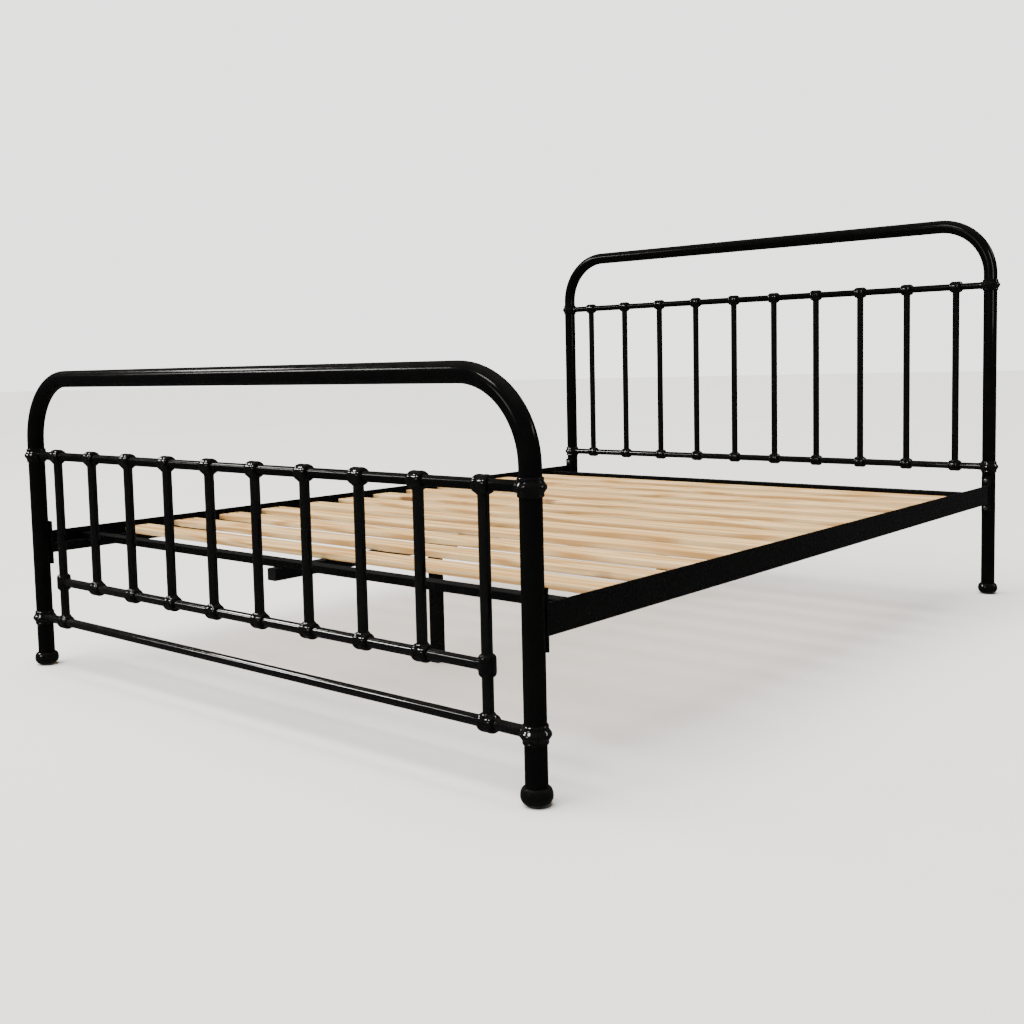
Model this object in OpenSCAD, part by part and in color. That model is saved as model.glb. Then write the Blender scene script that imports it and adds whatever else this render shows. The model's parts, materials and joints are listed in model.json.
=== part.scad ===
// Metal bed frame: two tubular hoops with cast joints, bolted side rails,
// a centre beam on legs, and a slatted deck.
// +Y points from the foot to the head, +Z up. The origin lies on the floor, under the middle.

/* [Mattress] */
// Width of the mattress that the frame takes
mattress_w = 1530; // [900:10:1900]
// Length of the mattress that the frame takes
mattress_l = 2030; // [1800:10:2500]
// Space between the mattress side and the line of the posts
side_margin = 10; // [5:1:40]
// Space between the mattress end and the plane of each hoop
end_margin = 40; // [35:1:90]

/* [Hoops] */
// Height of the foot hoop's top tube, to its centre line
foot_hoop_h = 693; // [577:1:900]
// Height of the head hoop's top tube, to its centre line
head_hoop_h = 1088; // [900:1:1400]
// Diameter of the hoop tube
hoop_d = 38; // [31:0.5:46]
// Wall of the hoop tube
hoop_wall = 1.5; // [1.2:0.1:2.5]
// Radius of the bends at the top corners, to the centre line
bend_r = 150; // [80:5:180]

/* [Bars] */
// Diameter of the rails and spindles
bar_d = 20; // [16:0.5:25]
// Wall of the rails and spindles
bar_wall = 1.2; // [1:0.1:2]
// Distance from a post to the nearest upright, axis to axis
outer_gap = 100; // [75:5:140]
// Straight length of post between the foot hoop's bend and its top rail
foot_straight = 32; // [22:1:120]
// Height of the foot end's panel rail, which stops at the two stiles
foot_panel_h = 212; // [177:1:255]
// Height of the foot end's bottom rail
foot_bottom_h = 116; // [90:1:140]
// Straight length of post between the head hoop's bend and its top rail
head_straight = 30; // [22:1:160]
// Height of the head end's bottom rail above the side rails
head_bottom_rise = 53; // [46:1:150]

/* [Castings] */
// Radial room between a casting and the tube it holds
cast_fit = 0.05; // [0.02:0.01:0.15]
// Height of the lip at each end of a casting on a post
lip_h = 4.6; // [3.6:0.1:9]
// How far a post casting's belt stands out from the post
belt_out = 7.8; // [6:0.1:10]
// How far a post casting's lips stand out from the post
lip_out = 3; // [2:0.1:4.5]
// How far a crossing's casting reaches past the upright, along the rail
knuckle_over = 7; // [5:0.5:14]
// How far a crossing's two lobes stand out from the rail
lobe_out = 6.6; // [5:0.1:9]
// How far the panel rail's casting reaches above and below the rail, along the stile
barrel_over = 8.5; // [7:0.5:15]
// How far that casting stands out from the stile
barrel_out = 5.7; // [4:0.1:8]

/* [Feet] */
// Height of a bun foot
bun_h = 30; // [24:1:42]
// How far a bun foot's belly stands out from the post
bun_out = 8.2; // [5:0.1:12]
// Thickness of a bun foot under the post
bun_sole = 6; // [4:0.5:10]
// Radius of the flat that a bun foot stands on
bun_flat_r = 10; // [6:0.5:14]

/* [Side rails] */
// Height of a side rail's lower edge
rail_bottom = 270; // [225:1:325]
// Depth of a side rail
rail_depth = 54; // [45:1:80]
// Thickness of a side rail
rail_t = 3.5; // [2.5:0.5:5]
// How far a side rail's outer face lies outside the post's axis
rail_out = 10; // [6:1:12]
// Width of the plate at each end of a rail
plate_w = 25; // [24:1:34]
// Thickness of that plate
plate_t = 5; // [4:0.5:8]
// Leg of the angle that carries the slats
ledge_leg = 25; // [20:1:35]
// Thickness of that angle
ledge_t = 3; // [2:0.5:4]
// Diameter of the bolts that hold the rails to the posts
bolt_d = 8; // [6:1:10]

/* [Centre support] */
// Side of the square tube of the beam and its legs
beam_side = 25; // [20:1:40]
// Wall of that tube
beam_wall = 1.5; // [1.2:0.1:2.5]
// Distance from the plane of a hoop to the beam's end
beam_inset = 92; // [60:1:160]
// Distance from the plane of a hoop to the nearest leg
leg_inset = 570; // [400:5:760]
// Length of the flange that fixes a leg to the beam
flange_len = 76; // [65:1:110]
// Thickness of that flange
flange_t = 3; // [2:0.5:5]
// Thickness of the plastic sole and end plugs
plug_t = 3; // [2:0.5:5]

/* [Deck] */
// Thickness of the slats and the cross bars
slat_t = 15; // [12:1:25]
// Width of a slat
slat_w = 70; // [50:1:90]
// Width of a cross bar
cross_w = 30; // [24:1:45]
// Wall of a cross bar
cross_wall = 1.5; // [1.2:0.1:2.5]
// Room at the ends of the slats and cross bars
deck_room = 2; // [1:0.5:5]
// Diameter of the small screws under the deck
screw_d = 6; // [4:1:8]

/* [Hidden] */
$fn = 48;
BLACK = "#141414";
PLUG_BLACK = "#26262a";
ZINC = "#b9bcc0";
PINE = "#d9b98a";

FOOT_SPINDLES = 8;
HEAD_SPINDLES = 10;
UPRIGHTS = 10;
SLATS = 12;
SIDES = [-1, 1];

post_x = mattress_w / 2 + side_margin;
hoop_y = mattress_l / 2 + end_margin;
hoop_r = hoop_d / 2;
bar_r = bar_d / 2;
foot_top_h = foot_hoop_h - bend_r - foot_straight;
head_top_h = head_hoop_h - bend_r - head_straight;
upright_pitch = 2 * (post_x - outer_gap) / (UPRIGHTS - 1);
socket_wall = 1.2;                   // of a casting's socket round a rail
belt_half = bar_r + socket_wall + 0.2;
post_cast_h = 2 * (belt_half + lip_h);
knuckle_half = bar_r + knuckle_over;
barrel_h = 2 * (bar_r + barrel_over);
butt_gap = 0.1;                      // where a tube's flat end meets another tube's round side
rail_half = post_x - hoop_r - butt_gap;

rail_face_x = post_x + rail_out;
rail_inner_x = rail_face_x - rail_t;
rail_top = rail_bottom + rail_depth;
head_bottom_h = rail_top + head_bottom_rise;
rail_half_y = hoop_y - hoop_r - butt_gap - plate_t;
bolt_room = 13;                      // from a rail's edge to the bolt beyond it
plate_end = 12;                      // from that bolt to the end of the plate
bolt_zs = [rail_bottom - bolt_room, rail_top + bolt_room];
plate_zs = [bolt_zs[0] - plate_end, bolt_zs[1] + plate_end];
bolt_reach = 14;                     // of a rail bolt into its post
insert_r = bolt_d / 2 + 1.5;
insert_len = 13;
insert_sunk = 0.4;                   // below the post's round side
plug_stem = 18;                      // of a plug inside its tube
screw_reach = 6;                     // of a small screw past the wall it holds in

ledge_top = rail_bottom + ledge_leg;
deck_half = rail_inner_x - deck_room;
beam_half_y = hoop_y - beam_inset;
leg_y = hoop_y - leg_inset;
cross_y = beam_half_y - cross_w;
slat_pitch = 2 * cross_y / (SLATS + 1);
flange_top = ledge_top - beam_side;
leg_top = flange_top - flange_t;
flange_hole = (flange_len + beam_side) / 4;
ledge_screw_x = rail_inner_x - ledge_leg / 2;

// X of the upright with this number, counted from the left
function upright_x(i) = -post_x + outer_gap + i * upright_pitch;

// Points of a quarter of an ellipse, from its side (a, 0) to its top (0, b)
function quarter(a, b, steps = 8) = [for (i = [0 : steps]) [a * cos(90 * i / steps), b * sin(90 * i / steps)]];

// ---- Tubes ----

module ring(d, wall) {
    difference() {
        circle(d = d);
        circle(d = d - 2 * wall);
    }
}

module tube_z(d, wall, z0, z1) {
    translate([0, 0, z0]) linear_extrude(z1 - z0) ring(d, wall);
}

module tube_x(d, wall, x0, x1) {
    translate([x0, 0, 0]) rotate([90, 0, 90]) linear_extrude(x1 - x0) ring(d, wall);
}

module square_ring(w, h, wall) {
    difference() {
        square([w, h], center = true);
        square([w - 2 * wall, h - 2 * wall], center = true);
    }
}

// ---- Placing ----

module at_foot() { translate([0, -hoop_y, 0]) children(); }
module at_head() { translate([0, hoop_y, 0]) children(); }
module at_left() { mirror([1, 0, 0]) children(); }
module both_sides() { children(); mirror([1, 0, 0]) children(); }

// ---- Hoops ----

// The bend at the right top corner, from the post to the top tube
module bend(h) {
    translate([post_x - bend_r, 0, h - bend_r]) rotate([90, 0, 0])
        rotate_extrude(angle = 90) translate([bend_r, 0]) ring(hoop_d, hoop_wall);
}

// A hoop bent from one tube. toward is the Y direction of the bed.
module hoop(h, toward) {
    difference() {
        union() {
            for (s = SIDES) translate([s * post_x, 0, 0]) tube_z(hoop_d, hoop_wall, bun_sole, h - bend_r);
            bend(h);
            mirror([1, 0, 0]) bend(h);
            translate([0, 0, h]) tube_x(hoop_d, hoop_wall, bend_r - post_x, post_x - bend_r);
        }
        for (s = SIDES, z = bolt_zs)
            translate([s * post_x, 0, z]) rotate([-90 * toward, 0, 0])
                cylinder(r = insert_r + cast_fit, h = hoop_d);
    }
}

// ---- Bars of the end panels ----

module cross_rail(z) {
    translate([0, 0, z]) tube_x(bar_d, bar_wall, -rail_half, rail_half);
}

// An upright that butts against the rails above and below it
module upright(i, z0, z1) {
    translate([upright_x(i), 0, 0])
        tube_z(bar_d, bar_wall, z0 + bar_r + butt_gap, z1 - bar_r - butt_gap);
}

// ---- Castings ----

// Outline of the casting on a post: a rounded ridge between two lips
module post_cast_outline() {
    steps = 9;
    rim = hoop_r + 0.8;
    root = hoop_r + lip_out - 0.5;
    crest = hoop_r + belt_out;
    belt = [for (i = [0 : steps])
        [root + (crest - root) * (1 + cos(180 * i / steps)) / 2, belt_half * i / steps]];
    lip = [for (p = quarter(hoop_r + lip_out - rim, 0.7 * lip_h, 5)) [rim + p[0], belt_half + 0.3 * lip_h + p[1]]];
    upper = concat(belt, lip);
    lower = [for (i = [len(upper) - 1 : -1 : 1]) [upper[i][0], -upper[i][1]]];
    polygon(concat([[0, -post_cast_h / 2]], lower, upper, [[0, post_cast_h / 2]]));
}

// The casting on the left post, with a socket for a rail on its right
module post_casting() {
    difference() {
        union() {
            rotate([0, 0, 90]) rotate_extrude() post_cast_outline();
            translate([hoop_r + 2, 0, 0]) rotate([0, 90, 0])
                cylinder(r = bar_r + socket_wall, h = belt_out - 1);
        }
        cylinder(r = hoop_r + cast_fit, h = post_cast_h + 2, center = true);
        rotate([0, 90, 0]) cylinder(r = bar_r + cast_fit, h = hoop_d);
    }
}

module post_castings(zs) {
    both_sides() for (z = zs) translate([-post_x, 0, z]) post_casting();
}

// Radius of the knuckle at a distance t along its rail: two lobes with a slight waist
function knuckle_r(t) =
    let (crest = knuckle_half * 0.48, top = bar_r + lobe_out, end = bar_r + 2.4, waist = 0.4)
    t < crest
        ? top - waist * (1 + cos(180 * t / crest)) / 2
        : end + (top - end) * sqrt(max(0, 1 - pow((t - crest) / (knuckle_half - crest), 2)));

// The knuckle cast round a rail where an upright meets it. up is the Z direction of the upright.
module knuckle(up) {
    half = knuckle_half;
    steps = 12;
    rim = bar_r + 0.8;
    bore = bar_r + cast_fit;
    outline = [for (i = [-steps : steps]) [knuckle_r(abs(i) * half / steps), i * half / steps]];
    collar = [for (p = quarter(3, lobe_out + 2)) [rim + p[0], bar_r - 2 + p[1]]];
    difference() {
        union() {
            rotate([90, 0, 0]) rotate([0, 90, 0]) rotate_extrude()
                polygon(concat([[0, -half]], outline, [[0, half]]));
            rotate([90 - 90 * up, 0, 0]) rotate_extrude()
                polygon(concat([[0, collar[0][1]]], collar, [[0, bar_r + lobe_out]]));
        }
        rotate([0, 90, 0]) cylinder(r = bore, h = 2 * half + 2, center = true);
        rotate([90 - 90 * up, 0, 0]) cylinder(r = bore, h = 2 * half);
    }
}

module knuckles(first, last, z, up) {
    for (i = [first : last]) translate([upright_x(i), 0, z]) knuckle(up);
}

// The barrel cast round the left stile, with a socket for the panel rail on its right
module barrel() {
    corner = 8;
    rim = bar_r + 1;
    bore = bar_r + cast_fit;
    cap = [for (p = quarter(bar_r + barrel_out - rim, corner)) [rim + p[0], barrel_h / 2 - corner + p[1]]];
    base = [for (i = [len(cap) - 1 : -1 : 0]) [cap[i][0], -cap[i][1]]];
    difference() {
        union() {
            rotate([0, 0, 90]) rotate_extrude()
                polygon(concat([[0, -barrel_h / 2]], base, cap, [[0, barrel_h / 2]]));
            translate([rim, 0, 0]) rotate([0, 90, 0]) cylinder(r = bar_r + socket_wall, h = barrel_out);
        }
        cylinder(r = bore, h = barrel_h + 2, center = true);
        rotate([0, 90, 0]) cylinder(r = bore, h = barrel_h);
    }
}

// ---- Bun feet ----

module bun_foot() {
    belly = 0.53 * bun_h;
    belly_r = hoop_r + bun_out;
    mouth_r = hoop_r + 1.6;
    under = [for (p = quarter(belly_r - bun_flat_r, belly)) [bun_flat_r + p[0], belly - p[1]]];
    shoulder = [for (p = quarter(belly_r - mouth_r, bun_h - belly)) [mouth_r + p[0], belly + p[1]]];
    bore = hoop_r + cast_fit;
    rotate_extrude() polygon(concat(
        [[0, 0]], [for (i = [len(under) - 1 : -1 : 1]) under[i]], shoulder,
        [[bore, bun_h], [bore, bun_sole], [0, bun_sole]]));
}

module bun_feet() {
    both_sides() translate([-post_x, 0, 0]) bun_foot();
}

// ---- Foot end ----

module foot_hoop() { color(BLACK) at_foot() hoop(foot_hoop_h, 1); }
module foot_top_rail() { color(BLACK) at_foot() cross_rail(foot_top_h); }
module foot_bottom_rail() { color(BLACK) at_foot() cross_rail(foot_bottom_h); }
module foot_panel_rail() {
    half = upright_x(UPRIGHTS - 1) - bar_r - butt_gap;
    color(BLACK) at_foot() translate([0, 0, foot_panel_h]) tube_x(bar_d, bar_wall, -half, half);
}
module foot_stile_left() { color(BLACK) at_foot() upright(0, foot_bottom_h, foot_top_h); }
module foot_stile_right() { color(BLACK) at_foot() upright(UPRIGHTS - 1, foot_bottom_h, foot_top_h); }
module foot_spindle(i) { color(BLACK) at_foot() upright(i, foot_panel_h, foot_top_h); }
module foot_top_castings() { color(BLACK) at_foot() knuckles(0, UPRIGHTS - 1, foot_top_h, -1); }
module foot_panel_castings() { color(BLACK) at_foot() knuckles(1, UPRIGHTS - 2, foot_panel_h, 1); }
module foot_stile_castings() {
    color(BLACK) at_foot() both_sides() translate([upright_x(0), 0, foot_panel_h]) barrel();
}
module foot_bottom_castings() {
    color(BLACK) at_foot() for (i = [0, UPRIGHTS - 1])
        translate([upright_x(i), 0, foot_bottom_h]) knuckle(1);
}
module foot_post_castings() { color(BLACK) at_foot() post_castings([foot_bottom_h, foot_top_h]); }
module foot_bun_feet() { color(BLACK) at_foot() bun_feet(); }

// ---- Head end ----

module head_hoop() { color(BLACK) at_head() hoop(head_hoop_h, -1); }
module head_top_rail() { color(BLACK) at_head() cross_rail(head_top_h); }
module head_bottom_rail() { color(BLACK) at_head() cross_rail(head_bottom_h); }
module head_spindle(i) { color(BLACK) at_head() upright(i - 1, head_bottom_h, head_top_h); }
module head_top_castings() { color(BLACK) at_head() knuckles(0, UPRIGHTS - 1, head_top_h, -1); }
module head_bottom_castings() { color(BLACK) at_head() knuckles(0, UPRIGHTS - 1, head_bottom_h, 1); }
module head_post_castings() { color(BLACK) at_head() post_castings([head_bottom_h, head_top_h]); }
module head_bun_feet() { color(BLACK) at_head() bun_feet(); }

// ---- Side rails ----

module side_rail() {
    translate([rail_inner_x, -rail_half_y, rail_bottom]) cube([rail_t, 2 * rail_half_y, rail_depth]);
}

// An angle with its flat leg on top, welded inside the rail
module slat_ledge() {
    difference() {
        translate([rail_inner_x, -rail_half_y, rail_bottom]) mirror([1, 0, 0]) union() {
            cube([ledge_t, 2 * rail_half_y, ledge_leg]);
            translate([0, 0, ledge_leg - ledge_t]) cube([ledge_leg, 2 * rail_half_y, ledge_t]);
        }
        for (s = SIDES) translate([ledge_screw_x, s * cross_y, rail_bottom + ledge_t])
            cylinder(d = screw_d + 0.6, h = ledge_leg);
    }
}

module side_rail_left() { color(BLACK) at_left() side_rail(); }
module side_rail_right() { color(BLACK) side_rail(); }
module slat_ledge_left() { color(BLACK) at_left() slat_ledge(); }
module slat_ledge_right() { color(BLACK) slat_ledge(); }

// The plate at one end of a rail, drilled for two bolts
module end_plate() {
    difference() {
        translate([-plate_w / 2, 0, plate_zs[0]]) cube([plate_w, plate_t, plate_zs[1] - plate_zs[0]]);
        for (z = bolt_zs) translate([0, -1, z]) rotate([-90, 0, 0])
            cylinder(d = bolt_d + 1, h = plate_t + 2);
    }
}

// Puts children at the bed side of each post, with +Y pointing into the bed
module at_each_post() {
    for (s = SIDES, e = [0, 1])
        mirror([0, e, 0]) translate([s * post_x, -hoop_y, 0]) children();
}

module rail_end_plates() {
    color(BLACK) at_each_post() translate([0, hoop_r + butt_gap, 0]) end_plate();
}

// A round-headed bolt with a hexagon socket
module round_bolt(d, len) {
    head_h = d * 0.55;
    difference() {
        union() {
            rotate_extrude() polygon(concat([[0, 0]], quarter(d * 0.875, head_h)));
            translate([0, 0, -len]) cylinder(d = d - 2 * cast_fit, h = len);
        }
        translate([0, 0, head_h * 0.45]) cylinder(d = d * 0.62, h = head_h, $fn = 6);
    }
}

module rail_bolts() {
    color(ZINC) at_each_post() for (z = bolt_zs)
        translate([0, hoop_r + butt_gap + plate_t, z]) rotate([-90, 0, 0]) round_bolt(bolt_d, plate_t + bolt_reach);
}

// The threaded inserts that the rail bolts screw into
module post_inserts() {
    color(ZINC) at_each_post() for (z = bolt_zs) translate([0, hoop_r - insert_sunk - insert_len, z])
        rotate([-90, 0, 0]) difference() {
            cylinder(r = insert_r, h = insert_len);
            translate([0, 0, -1]) cylinder(d = bolt_d, h = insert_len + 2);
        }
}

// ---- Centre support ----

module centre_beam() {
    color(BLACK) difference() {
        translate([0, beam_half_y, ledge_top - beam_side / 2]) rotate([90, 0, 0])
            linear_extrude(2 * beam_half_y) square_ring(beam_side, beam_side, beam_wall);
        for (s = SIDES) {
            translate([0, s * cross_y, flange_top - 1]) cylinder(d = screw_d + 0.6, h = beam_side + 2);
            for (t = SIDES) translate([0, s * leg_y + t * flange_hole, flange_top - 1])
                cylinder(d = screw_d + 0.1, h = beam_wall + 2);
        }
    }
}

// A plug with a flange as wide as the tube and a stem that fits inside it
module square_plug() {
    stem = beam_side - 2 * beam_wall - 0.2;
    translate([0, 0, plug_t / 2]) cube([beam_side, beam_side, plug_t], center = true);
    translate([0, 0, plug_t]) linear_extrude(plug_stem) square_ring(stem, stem, 2);
}

module beam_end_plugs() {
    color(PLUG_BLACK) for (s = SIDES)
        translate([0, s * (beam_half_y + plug_t), ledge_top - beam_side / 2])
            rotate([90 * s, 0, 0]) square_plug();
}

// A leg with the flange welded to its top
module centre_leg(y) {
    color(BLACK) translate([0, y, 0]) {
        translate([0, 0, plug_t]) linear_extrude(leg_top - plug_t) square_ring(beam_side, beam_side, beam_wall);
        difference() {
            translate([-beam_side / 2, -flange_len / 2, leg_top]) cube([beam_side, flange_len, flange_t]);
            for (t = SIDES) translate([0, t * flange_hole, leg_top - 1])
                cylinder(d = screw_d + 0.6, h = flange_t + 2);
        }
    }
}

module centre_leg_foot() { centre_leg(-leg_y); }
module centre_leg_head() { centre_leg(leg_y); }

module leg_sole_plugs() {
    color(PLUG_BLACK) for (s = SIDES) translate([0, s * leg_y, 0]) square_plug();
}

module leg_screws() {
    color(ZINC) for (s = SIDES, t = SIDES)
        translate([0, s * leg_y + t * flange_hole, leg_top]) rotate([180, 0, 0])
            round_bolt(screw_d, flange_t + beam_wall + screw_reach);
}

// ---- Deck ----

module cross_bar(y) {
    color(BLACK) translate([0, y, ledge_top + slat_t / 2]) difference() {
        translate([-deck_half, 0, 0]) rotate([90, 0, 90])
            linear_extrude(2 * deck_half) square_ring(cross_w, slat_t, cross_wall);
        for (x = [-ledge_screw_x, 0, ledge_screw_x])
            translate([x, 0, -slat_t / 2 - 1]) cylinder(d = screw_d + 0.1, h = cross_wall + 2);
    }
}

module cross_bar_foot() { cross_bar(-cross_y); }
module cross_bar_head() { cross_bar(cross_y); }

// Screws from below: short ones through the ledges and long ones through the beam
module cross_bar_screws() {
    reach = cross_wall + screw_reach;
    color(ZINC) for (s = SIDES) {
        for (x = [-ledge_screw_x, ledge_screw_x])
            translate([x, s * cross_y, ledge_top - ledge_t]) rotate([180, 0, 0])
                round_bolt(screw_d, ledge_t + reach);
        translate([0, s * cross_y, ledge_top - beam_side]) rotate([180, 0, 0])
            round_bolt(screw_d, beam_side + reach);
    }
}

module slats() {
    color(PINE) for (i = [1 : SLATS])
        translate([-deck_half, -cross_y + i * slat_pitch - slat_w / 2, ledge_top])
            cube([2 * deck_half, slat_w, slat_t]);
}

foot_hoop();
foot_top_rail();
foot_panel_rail();
foot_bottom_rail();
foot_stile_left();
foot_stile_right();
for (i = [1 : FOOT_SPINDLES])
    foot_spindle(i);
foot_top_castings();
foot_panel_castings();
foot_stile_castings();
foot_bottom_castings();
foot_post_castings();
foot_bun_feet();
head_hoop();
head_top_rail();
head_bottom_rail();
for (i = [1 : HEAD_SPINDLES])
    head_spindle(i);
head_top_castings();
head_bottom_castings();
head_post_castings();
head_bun_feet();
side_rail_left();
side_rail_right();
slat_ledge_left();
slat_ledge_right();
rail_end_plates();
rail_bolts();
post_inserts();
centre_beam();
beam_end_plugs();
centre_leg_foot();
centre_leg_head();
leg_sole_plugs();
leg_screws();
cross_bar_foot();
cross_bar_head();
cross_bar_screws();
slats();
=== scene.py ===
"""The looks of a tubular metal bed frame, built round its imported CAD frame.

The hoops, rails, spindles, castings, feet and bolts keep their CAD shapes and get
their finishes here. The slats are made again as planks with eased edges, and the
slat screws and weld beads, which the CAD leaves out, are added.
All lengths are in metres unless a name ends in _mm, and angles in radians unless one
ends in _deg. +Y points from the foot end to the head end and +Z up, with the origin
on the floor under the middle of the frame.
"""

import json
import logging
import math
from dataclasses import dataclass, field
from enum import Enum
from typing import Any, Iterable, Protocol, Sequence

import bmesh
import bpy
from mathutils import Matrix, Vector

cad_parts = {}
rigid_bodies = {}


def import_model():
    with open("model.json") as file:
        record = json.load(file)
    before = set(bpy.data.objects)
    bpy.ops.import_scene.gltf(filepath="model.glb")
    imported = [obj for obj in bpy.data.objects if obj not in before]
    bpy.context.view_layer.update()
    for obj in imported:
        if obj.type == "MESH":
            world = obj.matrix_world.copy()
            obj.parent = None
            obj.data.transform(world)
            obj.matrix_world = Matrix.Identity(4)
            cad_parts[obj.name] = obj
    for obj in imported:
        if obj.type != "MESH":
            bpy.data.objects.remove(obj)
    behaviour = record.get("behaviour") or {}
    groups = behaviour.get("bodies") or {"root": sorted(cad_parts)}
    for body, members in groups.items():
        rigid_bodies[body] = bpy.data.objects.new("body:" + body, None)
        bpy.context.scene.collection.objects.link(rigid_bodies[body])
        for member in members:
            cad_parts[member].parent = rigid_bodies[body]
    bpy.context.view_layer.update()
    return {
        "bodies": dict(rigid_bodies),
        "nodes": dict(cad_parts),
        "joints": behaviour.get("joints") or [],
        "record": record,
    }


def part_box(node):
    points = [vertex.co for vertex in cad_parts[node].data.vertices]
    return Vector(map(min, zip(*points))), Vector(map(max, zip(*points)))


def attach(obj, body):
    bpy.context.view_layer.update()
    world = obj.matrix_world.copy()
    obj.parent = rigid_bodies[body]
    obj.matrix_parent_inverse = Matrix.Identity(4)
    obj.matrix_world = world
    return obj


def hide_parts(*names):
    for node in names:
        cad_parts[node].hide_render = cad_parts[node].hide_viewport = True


LOG = logging.getLogger("bed_frame")
BODY = "root"
MM = 0.001
Point = tuple[float, float, float]
Colour = tuple[float, float, float, float]

# the kinds of node that are used most
MATH = "ShaderNodeMath"
VECTOR_MATH = "ShaderNodeVectorMath"
COMBINE = "ShaderNodeCombineXYZ"
NOISE = "ShaderNodeTexNoise"
RANGE = "ShaderNodeMapRange"
BUMP = "ShaderNodeBump"
MIX = "ShaderNodeMix"
COLOUR_MIX = {"out": "Result", "data_type": "RGBA"}  # the settings that make MIX blend colours


class Slot(Enum):
    """The record's material slots that a new piece can take."""

    ENAMEL = "black_enamel"
    ZINC = "zinc_steel"
    PINE = "pine"


class Run(Enum):
    """The directions in which a weld bead can run."""

    ACROSS = (1.0, 0.0, 0.0)
    ALONG = (0.0, 1.0, 0.0)
    UPRIGHT = (0.0, 0.0, 1.0)


# ---- Small tools ----


def linear(code: str) -> Colour:
    """Turns an sRGB hex value into a linear colour.

    Args:
        code: The colour as "#RRGGBB".

    Returns:
        Linear red, green, blue and an alpha of 1.
    """
    values = []
    for i in (1, 3, 5):
        s = int(code[i : i + 2], 16) / 255
        values.append(s / 12.92 if s <= 0.04045 else ((s + 0.055) / 1.055) ** 2.4)
    return (values[0], values[1], values[2], 1.0)


def per_metre(size_mm: float) -> float:
    """Returns the pattern scale at which one cell is size_mm wide."""
    return 1000.0 / size_mm


def pick(sockets: Any, key: int | str) -> Any:
    """Finds a socket by its index, or the first enabled one of that name.

    Args:
        sockets: A node's inputs or outputs.
        key: The index or the name.

    Returns:
        The socket.
    """
    if isinstance(key, int):
        return sockets[key]
    return next(s for s in sockets if s.name == key and s.enabled)


def add_node(
    tree: bpy.types.NodeTree,
    kind: str,
    inputs: dict[int | str, Any] | None = None,
    out: int | str = 0,
    **settings: Any,
) -> bpy.types.NodeSocket | None:
    """Adds a node with its settings, values and links.

    Args:
        tree: The tree that the node goes into.
        kind: The node's type name.
        inputs: A value or a linked socket for each input, by index or name.
        out: The output to return.
        **settings: Properties of the node, such as its operation.

    Returns:
        The chosen output socket, or None for a node without outputs.
    """
    node = tree.nodes.new(kind)
    for name, value in settings.items():
        setattr(node, name, value)
    for key, value in (inputs or {}).items():
        socket = pick(node.inputs, key)
        if isinstance(value, bpy.types.NodeSocket):
            tree.links.new(value, socket)
        else:
            socket.default_value = value
    return pick(node.outputs, out) if len(node.outputs) else None


def put_in_scene(name: str, mesh: bpy.types.Mesh) -> bpy.types.Object:
    """Makes an object at the origin and links it to the scene.

    Args:
        name: The object's name.
        mesh: The mesh that it shows.

    Returns:
        The new object.
    """
    made = bpy.data.objects.new(name, mesh)
    bpy.context.scene.collection.objects.link(made)
    return made


def middle(node: str) -> Vector:
    """Returns the middle of a CAD node's box."""
    low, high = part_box(node)
    return (Vector(low) + Vector(high)) / 2


# ---- Finishes ----


class Finish(Protocol):
    """A material that can be made once and shared."""

    name: str

    def build(self) -> bpy.types.Material:
        """Makes the material."""


class Tree:
    """A node tree under construction."""

    tree: bpy.types.NodeTree

    def add(self, kind: str, inputs: dict[int | str, Any] | None = None, **settings: Any) -> Any:
        """Adds a node to this tree, as add_node does."""
        return add_node(self.tree, kind, inputs, **settings)


class Surface(Tree):
    """A material under construction, with its tree and its Object coordinates."""

    def __init__(self, name: str) -> None:
        """Starts an empty material.

        Args:
            name: The material's name.
        """
        self.material = bpy.data.materials.new(name)
        self.material.use_nodes = True
        self.tree = self.material.node_tree
        self.tree.nodes.clear()
        self.place = self.add("ShaderNodeTexCoord", out="Object")

    def close(self, **sockets: Any) -> bpy.types.Material:
        """Adds the shader and the output.

        Args:
            **sockets: Shader inputs, with _ for each space in the name.

        Returns:
            The finished material.
        """
        inputs = {key.replace("_", " "): value for key, value in sockets.items()}
        shader = self.add("ShaderNodeBsdfPrincipled", inputs)
        self.add("ShaderNodeOutputMaterial", {"Surface": shader})
        return self.material


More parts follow.
